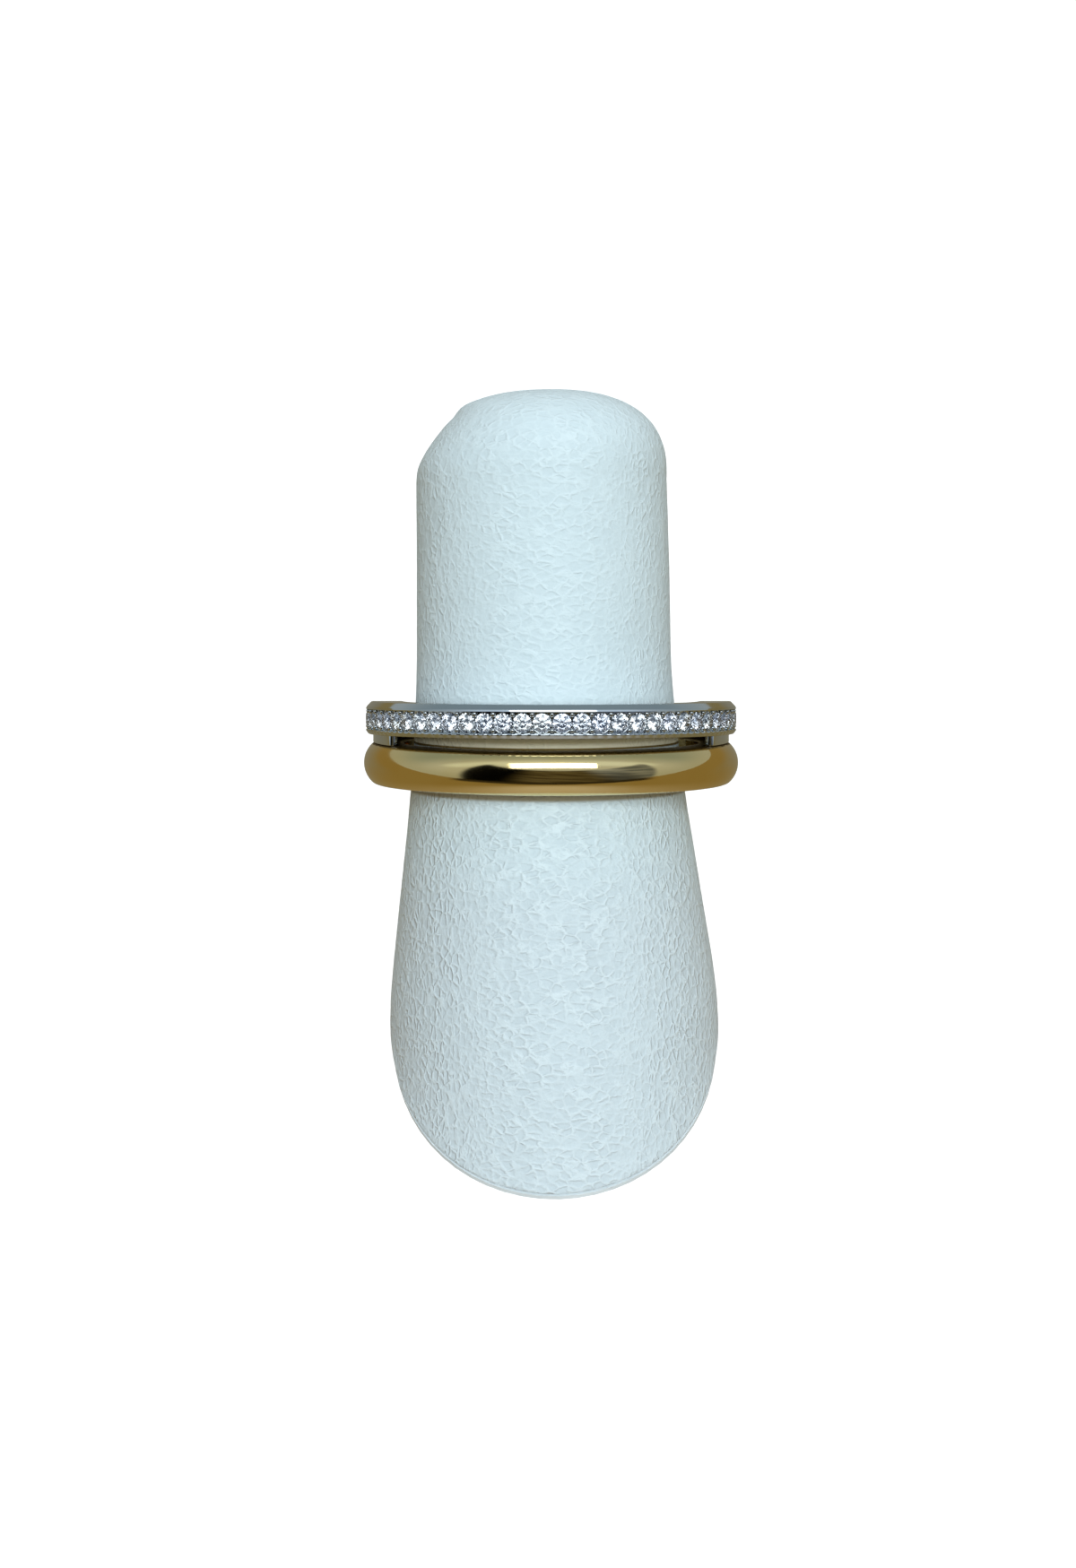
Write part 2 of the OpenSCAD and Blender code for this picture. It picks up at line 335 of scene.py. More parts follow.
add(tree, "ShaderNodeOutputMaterial", {"Surface": out(choice)})
floor_mesh.materials.append(floor_material)
print("floor radius", FLOOR_RADIUS, "m")

# %% [markdown]
# ## The light
# Polished metal has no look of its own: it shows the room.
# On the gold band the picture shows a crisp white bar, which is a lamp box overhead.
# Beside the bar runs a softer light band, and under it lies a dark shape with a grey right end.
# The leather shows something else: it is evenly lit from the front and has no hard shadow.
# So two area lights share the work. The lamp box shows in metal and stones and gives the crisp bar.
# The soft front light only shades what is matt, as a large window behind the camera would.
# The room is the world's shader: pale walls, a light band across the ceiling, and the dark shape.
# The dark shape is a rounded patch, drawn in azimuth and elevation as seen from the ring.
# Matt surfaces get most of their fill from behind, as beside a white backdrop, and stones a cool sky.

# %% Lamps
LAMP_AWAY = Vector((0.02, -0.172, 0.487))
LAMP_TILT = math.radians(35.4)
LAMP_WIDTH = 0.46
LAMP_LENGTH = 0.21
LAMP_RADIANCE = 3.1
LAMP_COLOR = (0.97, 1.0, 1.0)
FRONT_DISTANCE = 0.5
FRONT_ELEVATION = math.radians(46)
FRONT_AZIMUTH = math.radians(8)
FRONT_WIDTH = 0.35
FRONT_LENGTH = 0.25
FRONT_RADIANCE = 8.2
FRONT_COLOR = (0.86, 1.0, 1.05)


def area_lamp(name, width, height, radiance, color, place):
    """A rectangle of even light. Its power follows from how bright the rectangle looks."""
    data = bpy.data.lights.new(name, "AREA")
    data.shape = "RECTANGLE"
    data.size = width
    data.size_y = height
    data.energy = radiance * math.pi * width * height
    data.color = color
    lamp = new_object(name, data)
    lamp.matrix_world = place
    lamp.visible_camera = False
    print(name, "power", round(data.energy, 3), "W")
    return lamp


lamp_place = Matrix.Translation(ring_middle + LAMP_AWAY) @ Matrix.Rotation(LAMP_TILT, 4, "X")
lamp_box = area_lamp("lamp_box", LAMP_WIDTH, LAMP_LENGTH, LAMP_RADIANCE, LAMP_COLOR, lamp_place)
lamp_box.visible_diffuse = False
front_place = (
    Matrix.Translation(ring_middle)
    @ Matrix.Rotation(FRONT_AZIMUTH, 4, "Z")
    @ Matrix.Rotation(math.pi / 2 - FRONT_ELEVATION, 4, "X")
    @ Matrix.Translation((0, 0, FRONT_DISTANCE))
)
front_light = area_lamp("front_light", FRONT_WIDTH, FRONT_LENGTH, FRONT_RADIANCE, FRONT_COLOR, front_place)
front_light.visible_glossy = False
front_light.visible_transmission = False

# %% Pale room
CEILING_NEAR = (0.50, 0.56, 0.62, 1)
CEILING_FAR = (0.27, 0.34, 0.37, 1)
WALL_GREY = (0.40, 0.44, 0.44, 1)
BACKDROP_FROM = -0.1
BACKDROP_FULL = 0.5
WALL_TOP = 0.5
BAND_SLOPE = -0.17
BAND_HALF = 0.05
BAND_END = 0.33
BAND_LOW = 0.4
BAND_FULL = 0.6
BAND_PALE = (0.70, 0.82, 0.95, 1)

world = bpy.data.worlds.new("room")
scene.world = world
world.use_nodes = True
tree = world.node_tree
tree.nodes.clear()
to_right, to_back, upwards = parts(out(add(tree, "ShaderNodeTexCoord"), "Generated"))
elevation = calc("ARCSINE", upwards)
azimuth = calc("ARCTAN2", to_right, -to_back)
backdrop_share = ramp(to_back, BACKDROP_FROM, BACKDROP_FULL)
ceiling = mix(backdrop_share, CEILING_NEAR, CEILING_FAR)
walls = mix(ramp(upwards, 0.0, WALL_TOP), WALL_GREY, ceiling)
slope = to_back / calc("MAXIMUM", upwards, 0.05)
band = ramp(abs(slope - BAND_SLOPE), BAND_HALF, BAND_END, 1.0, 0.0) * ramp(upwards, BAND_LOW, BAND_FULL)
pale_room = mix(band, walls, BAND_PALE)
print("pale room:", len(tree.nodes), "nodes")

# %% Dark shape
DARK_MIDDLE = math.radians(3.5)
DARK_LEAN = 0.15
DARK_HALF_WIDTH = math.radians(56.5)
DARK_WIDENING = 0.55
DARK_TOP = math.radians(49)
DARK_TOP_SLANT = 0.1
DARK_CORNER = math.radians(6)
DARK_SOFTNESS = math.radians(3)
BLACK_END = math.radians(-32)
BROWN_FROM = math.radians(-8)
BROWN_END = math.radians(22)
GREY_FROM = math.radians(42)
SIDE_GREY_FROM = math.radians(45)
SIDE_GREY_FULL = math.radians(62)
LOW_GREY_END = math.radians(8)
HIGH_GREY_FROM = math.radians(55)
BLACK = (0.001, 0.001, 0.001, 1)

raised = calc("MAXIMUM", elevation, 0.0)
off_middle = abs(azimuth - (raised * DARK_LEAN + DARK_MIDDLE))
past_side = off_middle - (raised * DARK_WIDENING + (DARK_HALF_WIDTH - DARK_CORNER))
past_top = elevation - (azimuth * -DARK_TOP_SLANT + (DARK_TOP - DARK_CORNER))
past_corner = length(calc("MAXIMUM", past_side, 0.0), calc("MAXIMUM", past_top, 0.0))
light_share = ramp(past_corner, DARK_CORNER - DARK_SOFTNESS, DARK_CORNER + DARK_SOFTNESS)

fold_place = joined(elevation * 1.6 + azimuth * 0.7, (azimuth - elevation) * 0.25)
folds = ramp(noise(fold_place, 5.0), 0.35, 0.65)
brown = mix(folds, (0.05, 0.038, 0.015, 1), (0.11, 0.095, 0.055, 1))
low_grey = mix(folds, (0.03, 0.034, 0.04, 1), (0.08, 0.09, 0.11, 1))
high_grey = mix(folds, (0.20, 0.24, 0.32, 1), (0.38, 0.44, 0.56, 1))
side_grey = mix(folds, (0.11, 0.13, 0.16, 1), (0.24, 0.27, 0.33, 1))
near_grey = mix(ramp(elevation, LOW_GREY_END, HIGH_GREY_FROM), low_grey, high_grey)
grey = mix(ramp(azimuth, SIDE_GREY_FROM, SIDE_GREY_FULL), near_grey, side_grey)
dark = mix(ramp(azimuth, BLACK_END, BROWN_FROM), BLACK, brown)
dark = mix(ramp(azimuth, BROWN_END, GREY_FROM), dark, grey)
print("dark shape:", len(tree.nodes), "nodes with the room")

# %% What each kind of ray sees of the room
SKY_FROM = 0.58
SKY_FULL = 0.66
UNDER_SKY = (0.05, 0.075, 0.11, 1)
SKY = (1.5, 1.7, 1.8, 1)
FRONT_FILL = (0.16, 0.17, 0.17, 1)
BACK_FILL = (0.85, 0.92, 0.93, 1)

seen = add(tree, "ShaderNodeLightPath")
mirrored = mix(light_share, dark, pale_room)
in_stones = mix(ramp(upwards, SKY_FROM, SKY_FULL), UNDER_SKY, SKY)
on_matt = mix(backdrop_share, FRONT_FILL, BACK_FILL)
room_color = mix(out(seen, "Is Transmission Ray"), mirrored, in_stones)
room_color = mix(out(seen, "Is Diffuse Ray"), room_color, on_matt)
room = add(tree, "ShaderNodeBackground", {"Color": room_color})
backdrop = add(tree, "ShaderNodeBackground", {"Color": (1, 1, 1, 1)})
choice = add(
    tree, "ShaderNodeMixShader", {0: out(seen, "Is Camera Ray"), 1: out(room), 2: out(backdrop)}
)
add(tree, "ShaderNodeOutputWorld", {"Surface": out(choice)})
print("room made of", len(tree.nodes), "nodes")

# %% [markdown]
# ## How light is shown
# The plain Standard view keeps white at white and gold at its own colour.
# Light enters a cut stone and turns at several facets before it leaves.
# So the paths are allowed more bounces than plain glass would need.

# %% View and bounces
scene.view_settings.view_transform = "Standard"
scene.cycles.max_bounces = 24
scene.cycles.transmission_bounces = 20
scene.cycles.glossy_bounces = 10
print("view:", scene.view_settings.view_transform)

# %% [markdown]
# ## Polish marks, shared by both metals
# A polished band is never perfect: wiping leaves faint smears and wearing leaves hairlines.
# Both metals were polished on the same wheel, so one node group makes the marks for both.
# The group gives out a smear value for the roughness, and a height for a very shallow bump.
# Each metal places the group with its own scale, and keeps its own shader.

# %% Shader group: polish marks
HAIRLINE_STRETCH = (0.25, 0.25, 1.6)

polish, given = new_tree(
    "ShaderNodeTree",
    "polish_marks",
    {"Smear Scale": 300.0, "Hairline Scale": 2800.0},
    {"Smear": FLOAT, "Height": FLOAT},
)
place = object_place(polish)
smears = noise(place, given["Smear Scale"], 3.0, 0.6)
stretched = vector_calc("MULTIPLY", place, HAIRLINE_STRETCH)
hairlines = noise(stretched, given["Hairline Scale"], 2.0, 0.7)
add(polish, "NodeGroupOutput", {"Smear": ramp(smears, 0.35, 0.7), "Height": hairlines})
print("polish marks:", len(polish.nodes), "nodes")

# %% [markdown]
# ## Height over the ring, shared by gold and leather
# Two materials change with the height along the finger: gold is dull and darkened with painted shade where
# no mop reached it, and the leather gets painted shade and a painted reflection of the gold beside the
# bands. Both need the same number, so one group gives it out.
# It is the distance from the ring's middle plane, worked out from Object coordinates.

# %% Shader group: height over the ring
ring_height, _ = new_tree("ShaderNodeTree", "ring_height", {}, {"Height": FLOAT})
ring_axis = ring_frame.to_3x3() @ Vector((0, 0, 1))
along_axis = vector_calc("DOT_PRODUCT", object_place(ring_height), ring_axis, give="Value")
add(ring_height, "NodeGroupOutput", {"Height": along_axis - ring_axis.dot(ring_middle)})


def over_ring(tree):
    """The height over the ring's middle plane, in a material's tree."""
    return out(add(tree, "ShaderNodeGroup", node_tree=ring_height), "Height")


print("ring height:", len(ring_height.nodes), "nodes")

# %% [markdown]
# ## Yellow gold and white gold
# Metal in a physically based shader is a base colour and a roughness, with metallic at one.
# The yellow is a warm 14 to 18 carat colour. Its blue part is low, which deepens at each reflection.
# The white gold is a cool grey.
# Smears move the roughness a little, and the hairlines bend the reflections by a hair.
# The gold band's flat top lies in the slit, where no polishing mop reaches, so it is dull, and its dark
# brown colour is painted shade from the slit.

# %% Metals
GOLD_LOW = -2.3 * MM
GOLD_HEIGHT = 2.25 * MM
GOLD_TOP = GOLD_LOW + GOLD_HEIGHT
HAIRLINE_STRENGTH = 0.05
HAIRLINE_DEPTH = 0.02 * MM


def metal(name, tones, roughness, scales):
    """A polished metal: two near tones, and a roughness that changes with the smears."""
    material, tree, shader = principled(name)
    marks = add(tree, "ShaderNodeGroup", scales, node_tree=polish)
    smear = out(marks, "Smear")
    fill(shader, {
        "Metallic": 1,
        "Base Color": mix(smear, *tones),
        "Roughness": ramp(smear, 0, 1, *roughness),
        "Normal": bumped(out(marks, "Height"), HAIRLINE_STRENGTH, HAIRLINE_DEPTH),
    })
    return material


yellow_gold = metal(
    "polished_yellow_gold",
    tones=((0.80, 0.63, 0.30, 1), (0.78, 0.60, 0.26, 1)),
    roughness=(0.045, 0.11),
    scales={"Smear Scale": 260, "Hairline Scale": 2600},
)
white_gold = metal(
    "polished_white_gold",
    tones=((0.57, 0.61, 0.63, 1), (0.53, 0.57, 0.59, 1)),
    roughness=(0.06, 0.13),
    scales={"Smear Scale": 320, "Hairline Scale": 3000},
)
print("metals:", yellow_gold.name, white_gold.name)

# %% Dull top of the gold band, darkened with painted shade
DULL_SHADE_UNEVEN = 0.14 * MM
DULL_SHADE_EDGE = 0.01 * MM
# The dark brown base colour is painted shade from the slit; the higher roughness is the unpolished top.
DULL_SHADED_LOOK = {"Base Color": (0.16, 0.10, 0.025, 1), "Roughness": (0.5, 0.5, 0.5, 1)}

tree = yellow_gold.node_tree
shader = tree.nodes["Principled BSDF"]
dull_shade_height = over_ring(tree) + noise(object_place(tree), 3500, 1.0) * DULL_SHADE_UNEVEN
dull_shaded_share = ramp(dull_shade_height, GOLD_TOP - DULL_SHADE_EDGE, GOLD_TOP + DULL_SHADE_EDGE)
for name, dull in DULL_SHADED_LOOK.items():
    polished = Flow(shader.inputs[name].links[0].from_socket)
    fill(shader, {name: mix(dull_shaded_share, polished, dull)})
print("yellow gold:", len(tree.nodes), "nodes")

# %% [markdown]
# ## The brilliants
# A brilliant is clear, and its white fire is light that its facets turn back.
# A flat white would be easier, but it would lose the dark tables and the bright points between them.
# So the stones keep their real facets from the CAD solids and get clear glass with diamond's index.
# Melee stones differ by a shade, so a slow noise tints them between clear and a faint blue.

# %% Brilliant
DIAMOND_INDEX = 2.417
CLEAR = (1, 1, 1, 1)
FAINT_BLUE = (0.88, 0.9, 1.0, 1)


def dress(node, material):
    """Gives a CAD solid a new material, and leaves its shape alone."""
    node.data.materials.clear()
    node.data.materials.append(material)


brilliant, tree, shader = principled("cut_diamond")
tint = ramp(noise(object_place(tree), 700, 1.0), 0.4, 0.65)
fill(shader, {
    "Transmission Weight": 1,
    "IOR": DIAMOND_INDEX,
    "Roughness": 0.005,
    "Base Color": mix(tint, CLEAR, FAINT_BLUE),
})
stone_nodes = sorted(name for name in nodes if name.startswith("stone_"))
for name in stone_nodes:
    dress(nodes[name], brilliant)
print("stones with facets:", len(stone_nodes))

# %% [markdown]
# ## The gold band
# The real band is drawn wire of D section, bent round, soldered and polished.
# It could be turned on a lathe, or cut as a torus, but its section is a rule that is easy to state.
# The section is a rectangle with rounded corners, whose outer side is pushed out to an arc.
# Geometry Nodes sweep that section round a circle, and each size is a named input.

# %% Geometry Nodes: a domed band
def close_tree(geometry, material):
    """Ends a tree as each one here ends: real meshes, smooth shading and a material."""
    tree = tree_of(geometry)
    real = add(tree, "GeometryNodeRealizeInstances", {0: geometry})
    smooth = add(tree, "GeometryNodeSetShadeSmooth", {0: out(real), "Shade Smooth": True})
    painted = add(tree, "GeometryNodeSetMaterial", {0: out(smooth), "Material": material})
    add(tree, "NodeGroupOutput", {0: out(painted)})


def geometry_tree(name, inputs):
    """A Geometry Nodes tree with named inputs, and the flows that they give."""
    return new_tree("GeometryNodeTree", name, inputs, {"Geometry": GEOMETRY})


domed, size = geometry_tree("domed_band", {
    "Bore Diameter": 16.5 * MM,
    "Crest Diameter": 20.84 * MM,
    "Height": 2.18 * MM,
    "Dome Rise": 0.54 * MM,
    "Edge Round": 0.09 * MM,
    "Sides": 288,
    "Section Step": 0.06 * MM,
    "Material": MATERIAL,
})
rise = size["Dome Rise"]
wall = (size["Crest Diameter"] - size["Bore Diameter"]) * 0.5 - rise
half_height = size["Height"] * 0.5
arc_radius = (half_height * half_height + rise * rise) / (rise * 2.0)
sides = {"Width": wall, "Height": size["Height"]}
section = add(domed, "GeometryNodeCurvePrimitiveQuadrilateral", sides, mode="RECTANGLE")
corners = {"Curve": out(section), "Count": 6, "Radius": size["Edge Round"]}
rounded = add(domed, "GeometryNodeFilletCurve", corners, mode="POLY")
steps = {"Curve": out(rounded), "Length": size["Section Step"]}
even = add(domed, "GeometryNodeResampleCurve", steps, mode="LENGTH")
x, y, _ = parts(out(add(domed, "GeometryNodeInputPosition")))
bulge = calc("MAXIMUM", calc("SQRT", arc_radius * arc_radius - y * y) - (arc_radius - rise), 0.0)
push = joined(bulge * calc("GREATER_THAN", x, 0.0))
dome = add(domed, "GeometryNodeSetPosition", {"Geometry": out(even), "Offset": push})
circle = {"Resolution": size["Sides"], "Radius": (size["Bore Diameter"] + wall) * 0.5}
round_the_finger = add(domed, "GeometryNodeCurvePrimitiveCircle", circle, mode="RADIUS")
swept = add(
    domed, "GeometryNodeCurveToMesh", {"Curve": out(round_the_finger, "Curve"), "Profile Curve": out(dome)}
)
close_tree(out(swept), size["Material"])
print("domed band tree:", len(domed.nodes), "nodes")

# %% Run a tree into a plain mesh
def grow(name, tree, values, place, start_mesh=None):
    """Runs a Geometry Nodes tree with its inputs set, and keeps a plain mesh of the result at its place."""
    seed = new_object(name + "_start", start_mesh or bpy.data.meshes.new(name + "_start"))
    modifier = seed.modifiers.new("grow", "NODES")
    modifier.node_group = tree
    for item in tree.interface.items_tree:
        if item.in_out == "INPUT" and item.name in values:
            modifier[item.identifier] = values[item.name]
    mesh = bpy.data.meshes.new_from_object(seed.evaluated_get(bpy.context.evaluated_depsgraph_get()))
    bpy.data.objects.remove(seed)
    mesh.name = name
    mesh.transform(place)
    return new_object(name, mesh)


def report(piece):
    """Prints a piece's triangles and its solid volume, which is positive if its faces point outwards."""
    mesh = piece.data
    mesh.calc_loop_triangles()
    points = np.empty(len(mesh.vertices) * 3)
    mesh.vertices.foreach_get("co", points)
    corners = np.empty(len(mesh.loop_triangles) * 3, np.int32)
    mesh.loop_triangles.foreach_get("vertices", corners)
    a, b, c = points.reshape(-1, 3)[corners.reshape(-1, 3)].transpose(1, 0, 2)
    volume = np.einsum("ij,ij->i", a, np.cross(b, c)).sum() / 6
    print(piece.name, len(a), "triangles,", round(volume * 1e9, 1), "cubic mm")


gold_band = grow(
    "gold_band_polished",
    domed,
    {"Height": GOLD_HEIGHT, "Material": yellow_gold},
    ring_frame @ Matrix.Translation((0, 0, GOLD_LOW + GOLD_HEIGHT / 2)),
)
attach(gold_band, "root")
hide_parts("gold_band")
report(gold_band)

# %% [markdown]
# ## The stone-set band
# The white band is cut from a flat ring: a bevelled rail on top, a lower rail, and a sunk field.
# In the field each stone has its own seat, drilled and tapered for the stone's pavilion.
# Booleans would cut the seats, yet they leave long thin triangles that polish shows up.
# So the outside is one grid, wrapped round the finger: columns by angle, rows by the section.
# The seats press the grid in, column by column, and the edges get small rounds in the section itself.
# The lower rail's upper lip is rounded, and the rail is filed in two shallow waves a stone.
# That makes the light on it break up into dots, as in the picture.
# The band is tilted a little on the lower edge of its front, so the gap narrows towards the back.

# %% Sizes of the stone-set band
BAND_GAP = 0.7 * MM
WHITE_HEIGHT = 1.79 * MM
STONES = 34
PITCH = math.radians(5.8)
BORE_RADIUS = 8.25 * MM
RAIL_RADIUS = 10.3 * MM
FIELD_RADIUS = RAIL_RADIUS - 0.17 * MM
white_low = GOLD_TOP + BAND_GAP
white_high = white_low + WHITE_HEIGHT
FIELD_LOW = white_low + 0.29 * MM
FIELD_HIGH = white_high - 0.39 * MM
field_middle = (FIELD_LOW + FIELD_HIGH) / 2
field_reach = STONES / 2 * PITCH + math.radians(2)
SPREAD = math.radians(1.3)
white_frame = (
    ring_frame
    @ Matrix.Translation((0, -RAIL_RADIUS, white_low))
    @ Matrix.Rotation(-SPREAD, 4, "X")
    @ Matrix.Translation((0, RAIL_RADIUS, -white_low))
)
print("field", round((FIELD_HIGH - FIELD_LOW) * 1000, 2), "mm high, with", STONES, "stones")

# %% Section of the stone-set band
BORE_ROUND = 0.15 * MM
BEVEL = 0.3 * MM
LIP = 0.02 * MM
LIP_ROUND = 0.08 * MM
LIP_ROWS = 8
FIELD_ROWS = 30


def straight(start, end, steps):
    """Points from start up to end, both left out."""
    share = np.linspace(0, 1, steps + 2)[1:-1, None]
    return np.array(start) * (1 - share) + np.array(end) * share


def rounded_corner(before, corner_point, after, radius, steps):
    """Points of a round that touches both sides of a corner."""
    corner_point = np.array(corner_point)
    to_before = np.array(before) - corner_point
    to_after = np.array(after) - corner_point
    to_before /= np.linalg.norm(to_before)
    to_after /= np.linalg.norm(to_after)
    half_turn = math.acos(float(np.clip(to_before @ to_after, -1, 1))) / 2
    reach = radius / math.tan(half_turn)
    start = corner_point + to_before * reach
    end = corner_point + to_after * reach
    share = np.linspace(0, 1, steps)[:, None]
    return (1 - share) ** 2 * start + 2 * share * (1 - share) * corner_point + share ** 2 * end


lip_low = FIELD_LOW - LIP_ROUND - LIP
bore_low = (BORE_RADIUS, white_low)
foot_edge = (RAIL_RADIUS - 0.14 * MM, white_low)
low_edge = (RAIL_RADIUS, lip_low)
high_edge = (RAIL_RADIUS, FIELD_HIGH)
bevel_bend = (RAIL_RADIUS - 0.15 * BEVEL, FIELD_HIGH + 0.12 * MM)
crown_edge = (RAIL_RADIUS - BEVEL, white_high)
bore_high = (BORE_RADIUS, white_high)

below_field = np.vstack([
    rounded_corner(bore_high, bore_low, foot_edge, BORE_ROUND, 5),
    straight((BORE_RADIUS + BORE_ROUND, white_low), foot_edge, 3),
    rounded_corner(bore_low, foot_edge, low_edge, 0.08 * MM, 5),
    straight(foot_edge, low_edge, 3),
    rounded_corner(foot_edge, low_edge, high_edge, 0.03 * MM, 4),
])
above_field = np.vstack([
    rounded_corner(low_edge, high_edge, bevel_bend, 0.06 * MM, 3),
    straight(high_edge, bevel_bend, 1),
    rounded_corner(high_edge, bevel_bend, crown_edge, 0.1 * MM, 5),
    straight(bevel_bend, crown_edge, 1),
    rounded_corner(bevel_bend, crown_edge, bore_high, 0.07 * MM, 4),
    straight(crown_edge, (BORE_RADIUS + BORE_ROUND, white_high), 3),
    rounded_corner(crown_edge, bore_high, bore_low, BORE_ROUND, 5),
    straight((BORE_RADIUS, white_high - BORE_ROUND), (BORE_RADIUS, white_low + BORE_ROUND), 5),
])
field_z = np.concatenate([
    FIELD_LOW - LIP_ROUND * (1 - np.sin(np.linspace(0, math.pi / 2, LIP_ROWS))),
    np.linspace(FIELD_LOW + LIP, FIELD_HIGH - LIP, FIELD_ROWS),
    [FIELD_HIGH, FIELD_HIGH + LIP],
])
print("rows in the section:", len(below_field) + len(field_z) + len(above_field))

# %% Columns and seats
COLUMNS_PER_STONE = 28
BACK_COLUMNS = 120
FIELD_END = 0.1 * MM
SEAT_RADIUS = 0.505 * MM
SEAT_MOUTH = 10.112 * MM
SEAT_SLOPE = 0.448 / 0.485

field_columns = np.linspace(-field_reach, field_reach, STONES * COLUMNS_PER_STONE + 1)
back_columns = np.linspace(field_reach, 2 * math.pi - field_reach, BACK_COLUMNS)[1:-1]
columns = np.concatenate([field_columns, back_columns])


def from_front(angle):
    """The same angle, counted to both sides from the front of the ring."""
    return (angle + math.pi) % (2 * math.pi) - math.pi


def field_radius(angle, z):
    """Distance of the field's surface from the ring's axis, with the seats cut in."""
    turn = from_front(angle)
    end_share = np.clip((field_reach - np.abs(turn)) / (FIELD_END / FIELD_RADIUS), 0, 1)
    over_low = np.clip((z - FIELD_LOW + LIP / 2) / LIP, 0, 1)
    under_high = np.clip((FIELD_HIGH - z + LIP / 2) / LIP, 0, 1)
    sunk = end_share * over_low * under_high
    over_lip = np.clip(z - FIELD_LOW + LIP_ROUND, 0, LIP_ROUND) / LIP_ROUND
    lip = np.where(z < field_middle, LIP_ROUND * (1 - np.sqrt(1 - over_lip ** 2)) * end_share, 0)
    radius = RAIL_RADIUS - np.maximum((RAIL_RADIUS - FIELD_RADIUS) * sunk, lip)
    number = np.clip(np.round(turn / PITCH + (STONES + 1) / 2), 1, STONES)
    seat_angle = (number - (STONES + 1) / 2) * PITCH
    from_stone = np.hypot((turn - seat_angle) * FIELD_RADIUS, z - field_middle)
    bowl = SEAT_MOUTH - (SEAT_RADIUS - from_stone) * SEAT_SLOPE
    return np.where(from_stone < SEAT_RADIUS, np.minimum(radius, bowl), radius)


def all_rows(field_rows, measure):
    """The field's rows between the plain rows below and above it, column by column."""
    below, above = (np.tile(plain[:, measure], (len(columns), 1)) for plain in (below_field, above_field))
    return np.hstack([below, field_rows, above])


grid_angle, grid_z = np.meshgrid(columns, field_z, indexing="ij")
field_r = field_radius(grid_angle, grid_z)
rows_r = all_rows(field_r, 0)
rows_z = all_rows(grid_z, 1)
print("grid:", rows_r.shape, "deepest seat at", round(field_r.min() * 1000, 2), "mm from the axis")

# %% Waves in the lower rail
RIPPLE = 0.04 * MM
RIPPLES_PER_STONE = 2
RAIL_DEPTH = 0.55 * MM

turns = from_front(columns)
ripple_ends = np.clip((field_reach - np.abs(turns)) / PITCH, 0, 1)
ripple = RIPPLE / 2 * (1 - np.cos(turns / PITCH * 2 * math.pi * RIPPLES_PER_STONE)) * ripple_ends
from_edge = np.minimum((rows_z - white_low) / (lip_low - white_low), (FIELD_LOW + LIP - rows_z) / LIP)
on_rail = rows_r > RAIL_RADIUS - RAIL_DEPTH
rows_r = rows_r - ripple[:, None] * np.clip(from_edge, 0, 1) * on_rail
print("waves up to", round(ripple.max() * 1000, 3), "mm deep")

# %% Taper towards the back
TAPER = 0.05
TAPER_START = 0.4 * MM
TAPER_BLEND = math.radians(12)

behind_axis = np.maximum(-rows_r * np.cos(columns)[:, None] - TAPER_START, 0)
top_limit = white_high - TAPER * behind_axis
past_field = np.clip((np.abs(turns) - field_reach) / TAPER_BLEND, 0, 1)[:, None]
still = FIELD_HIGH + LIP + (white_low - FIELD_HIGH - LIP) * past_field
lowered = still + (rows_z - still) * (top_limit - still) / (white_high - still)
rows_z = np.where(rows_z > still, lowered, rows_z)
print("band height at the back:", round((rows_z[len(columns) * 4 // 5].max() - white_low) * 1000, 2), "mm")

# %% Build the stone-set band
def grid_quads(lines, points_each, closed):
    """The quads between lines of points. Each line is a loop, and the last line may meet the first."""
    spans = lines if closed else lines - 1
    line, step = np.meshgrid(np.arange(spans), np.arange(points_each), indexing="ij")
    next_line = (line + 1) % lines
    next_step = (step + 1) % points_each
    corners = ((line, step), (next_line, step), (next_line, next_step), (line, next_step))
    return np.stack([a * points_each + b for a, b in corners], axis=2).reshape(-1, 4)


def weld(mesh):
    """Joins points that lie on each other and drops the faces that this leaves without area."""
    shape = bmesh.new()
    shape.from_mesh(mesh)
    bmesh.ops.remove_doubles(shape, verts=shape.verts, dist=1e-7)
    bmesh.ops.dissolve_degenerate(shape, edges=shape.edges, dist=1e-8)
    shape.to_mesh(mesh)
    shape.free()


def white_piece(name, angles, radii, heights, closed=True):
    """A tube of quads in white gold. Columns go round the ring's axis and rows round the section."""
    x = radii * np.sin(angles)[:, None]
    y = -radii * np.cos(angles)[:, None]
    points = np.stack([x, y, heights], axis=2).reshape(-1, 3)
    mesh = bpy.data.meshes.new(name)
    mesh.from_pydata(points.tolist(), [], grid_quads(*radii.shape, closed).tolist())
    if not closed:
        weld(mesh)
    mesh.transform(white_frame)
    mesh.polygons.foreach_set("use_smooth", [True] * len(mesh.polygons))
    mesh.materials.append(white_gold)
    return new_object(name, mesh)


white_band = white_piece("white_band_polished", columns, rows_r, rows_z)
white_band.data.set_sharp_from_angle(angle=math.radians(38))
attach(white_band, "root")
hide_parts("pave_band")
report(white_band)

# %% [markdown]
# ## The strip that joins the bands
# At the sides and round the back a narrow strip fills the gap between the bands.
# On the bench it is a bent wire, soldered under the white band, with its two ends filed round.
# It is the same wrapped grid with a rounded section, and its ends swell from nothing.
# It tilts with the white band, and its lower side follows the flat top of the gold band.

# %% Joining strip
STRIP_START = math.radians(61)
STRIP_RADIUS = 9.65 * MM
STRIP_HALF = 0.25 * MM
STRIP_ROUND = 0.05 * MM
STRIP_COLUMNS = 160
SOLDER_SEAM = 0.02 * MM
strip_high = white_low + 0.06 * MM
strip_end = 2 * math.pi - STRIP_START
end_turn = STRIP_HALF / STRIP_RADIUS

